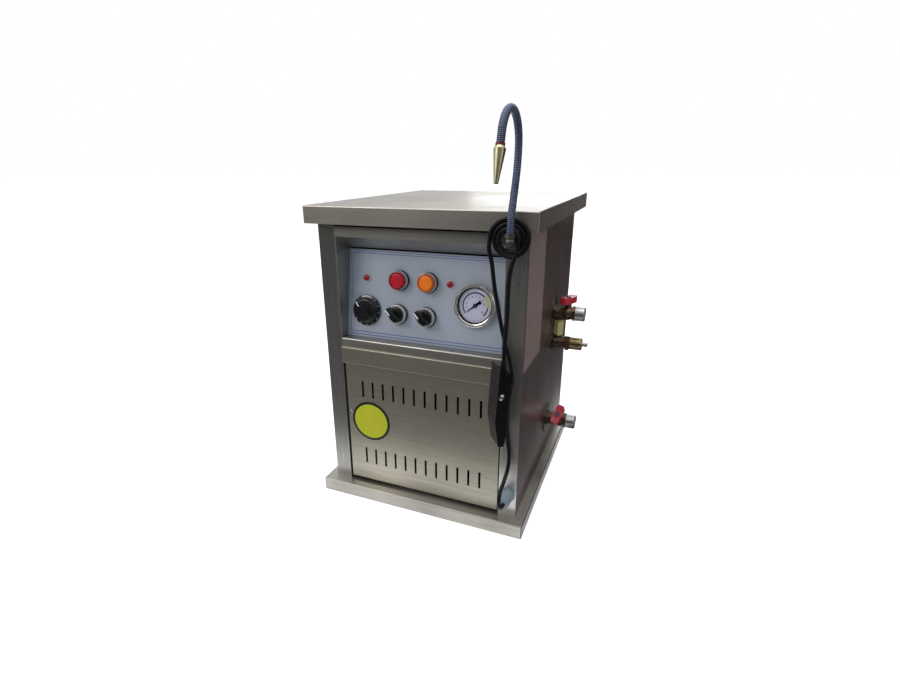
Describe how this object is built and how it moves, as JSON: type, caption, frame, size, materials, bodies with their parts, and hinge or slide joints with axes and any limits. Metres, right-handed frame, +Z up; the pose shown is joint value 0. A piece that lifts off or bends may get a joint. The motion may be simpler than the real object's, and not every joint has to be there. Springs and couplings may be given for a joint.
{
  "type": "jewelry steam cleaner",
  "caption": "Steel steam cleaner for jewelry: box cabinet with a recessed leaning control panel, ribbed gooseneck with brass nozzle, side valves and a coiled-lead foot pedal.",
  "frame": {"origin": "centre of the base tray's footprint, on the surface that the tray rests on", "axes": "+Z up; -Y towards the front with the control panel; +X towards the side with the valves"},
  "size_m": [0.4205, 0.5424, 0.6377],
  "materials": {
    "stainless": "fine brushed sheet",
    "panel_blue": "satin light blue-grey",
    "warm_sheet": "brushed, warm grey",
    "black_plastic": "satin black",
    "matte_black": "matte black",
    "chrome": "polished",
    "silver": "satin silver",
    "brass": "dull brass",
    "hose_steel": "dark blue-grey ribs",
    "nozzle_brass": "worn brass with a green cast",
    "dark_copper": "dark red-brown",
    "red_lens": "translucent red",
    "amber_lens": "translucent amber",
    "white_dial": "matte white",
    "clear_glass": "clear",
    "red_handle": "gloss red",
    "grey_gland": "light blue-grey",
    "rubber": "matte black",
    "yellow_plate": "satin yellow, black rim",
    "foil_plate": "satin foil",
    "boiler_steel": "plain steel",
    "copper": "copper",
    "screw_steel": "zinc"
  },
  "bodies": {
    "cabinet": {"base_tray": "stainless", "left_side_panel": "stainless", "right_side_panel": "stainless", "back_panel": "stainless", "panel_surround": "stainless", "control_panel": "panel_blue", "sill_rail": "stainless", "cover_strip": "stainless", "vent_cover": "warm_sheet", "cover_screws": "screw_steel", "lid": "stainless", "round_plate": "yellow_plate", "side_plate": "foil_plate", "gauge_case": "black_plastic", "gauge_bezel": "chrome", "gauge_dial": "white_dial", "gauge_glass": "clear_glass", "button_bezels": "silver", "pilot_lamps": "red_lens", "selector_rings": "silver", "thermostat_body": "silver", "neck_elbow": "silver", "neck_lock_nut": "silver", "pedal_gland": "grey_gland", "mains_gland": "grey_gland", "lead_lower": "rubber", "lead_coil": "rubber", "lead_upper": "rubber", "pedal_base": "matte_black", "pedal_pin": "chrome", "pedal_feet": "rubber", "pedal_relief": "rubber", "valve_lock_nuts": "silver", "inlet_valve": "brass", "valve_outlets": "chrome", "drain_valve": "brass", "relief_tee": "brass", "relief_bridge": "chrome", "relief_cap": "brass", "boiler_shell": "boiler_steel", "heater": "copper", "solenoid_valve": "brass", "steam_pipe": "copper"},
    "needle": {"gauge_needle": "matte_black"},
    "red_push": {"red_button": "red_lens"},
    "amber_push": {"amber_button": "amber_lens"},
    "left_switch": {"left_selector": "black_plastic"},
    "right_switch": {"right_selector": "black_plastic"},
    "temperature_knob": {"main_knob": "black_plastic"},
    "inlet_lever": {"inlet_handle": "red_handle", "inlet_handle_nut": "silver"},
    "drain_lever": {"drain_handle": "red_handle", "drain_handle_nut": "silver"},
    "relief_pull": {"relief_stem": "silver"},
    "treadle": {"pedal_treadle": "matte_black"},
    "neck_lower": {"hose_lower": "hose_steel", "hose_flex": "hose_steel"},
    "neck_upper": {"hose_upper": "hose_steel", "hose_ferrule": "dark_copper", "steam_nozzle": "nozzle_brass"}
  },
  "joints": [
    {"name": "needle_turn", "type": "hinge", "parent": "cabinet", "child": "needle", "pos_m": [0.08651, -0.17051, 0.36686], "axis": [0, 0.9857, -0.1685], "range_deg": [0, 256], "stiffness_Nm_per_rad": 0.0005, "springref_deg": -11.46},
    {"name": "red_press", "type": "slide", "parent": "cabinet", "child": "red_push", "axis": [0, 0.9857, -0.1685], "range_m": [0, 0.004], "stiffness_N_per_m": 400, "springref_m": -0.002},
    {"name": "amber_press", "type": "slide", "parent": "cabinet", "child": "amber_push", "axis": [0, 0.9857, -0.1685], "range_m": [0, 0.004], "stiffness_N_per_m": 400, "springref_m": -0.002},
    {"name": "left_switch_turn", "type": "hinge", "parent": "cabinet", "child": "left_switch", "pos_m": [-0.04401, -0.17014, 0.33992], "axis": [0, 0.9857, -0.1685], "range_deg": [0, 90]},
    {"name": "right_switch_turn", "type": "hinge", "parent": "cabinet", "child": "right_switch", "pos_m": [0.006, -0.17014, 0.33992], "axis": [0, 0.9857, -0.1685], "range_deg": [0, 90]},
    {"name": "temperature_turn", "type": "hinge", "parent": "cabinet", "child": "temperature_knob", "pos_m": [-0.102, -0.16989, 0.3414], "axis": [0, 0.9857, -0.1685], "range_deg": [0, 270]},
    {"name": "inlet_turn", "type": "hinge", "parent": "cabinet", "child": "inlet_lever", "pos_m": [0.1945, 0.039, 0.331], "axis": [0, 0, 1], "range_deg": [0, 90]},
    {"name": "drain_turn", "type": "hinge", "parent": "cabinet", "child": "drain_lever", "pos_m": [0.1945, 0.01886, 0.11114], "axis": [0, -0.7071, 0.7071], "range_deg": [-75, 15]},
    {"name": "relief_lift", "type": "slide", "parent": "cabinet", "child": "relief_pull", "axis": [1, 0, 0], "range_m": [0, 0.003], "stiffness_N_per_m": 600, "springref_m": -0.003},
    {"name": "treadle_press", "type": "hinge", "parent": "cabinet", "child": "treadle", "pos_m": [0.1439, -0.233, 0.2595], "axis": [0.5592, -0.829, 0], "range_deg": [0, 3], "stiffness_Nm_per_rad": 3, "springref_deg": -5.73},
    {"name": "neck_swivel", "type": "hinge", "parent": "cabinet", "child": "neck_lower", "pos_m": [0.153, -0.231, 0.485], "axis": [0, 0, 1], "range_deg": [-60, 60]},
    {"name": "neck_bend", "type": "hinge", "parent": "neck_lower", "child": "neck_upper", "pos_m": [0.153, -0.22159, 0.52967], "axis": [1, 0, 0], "range_deg": [-20, 20], "deforming": ["hose_flex"]}
  ]
}
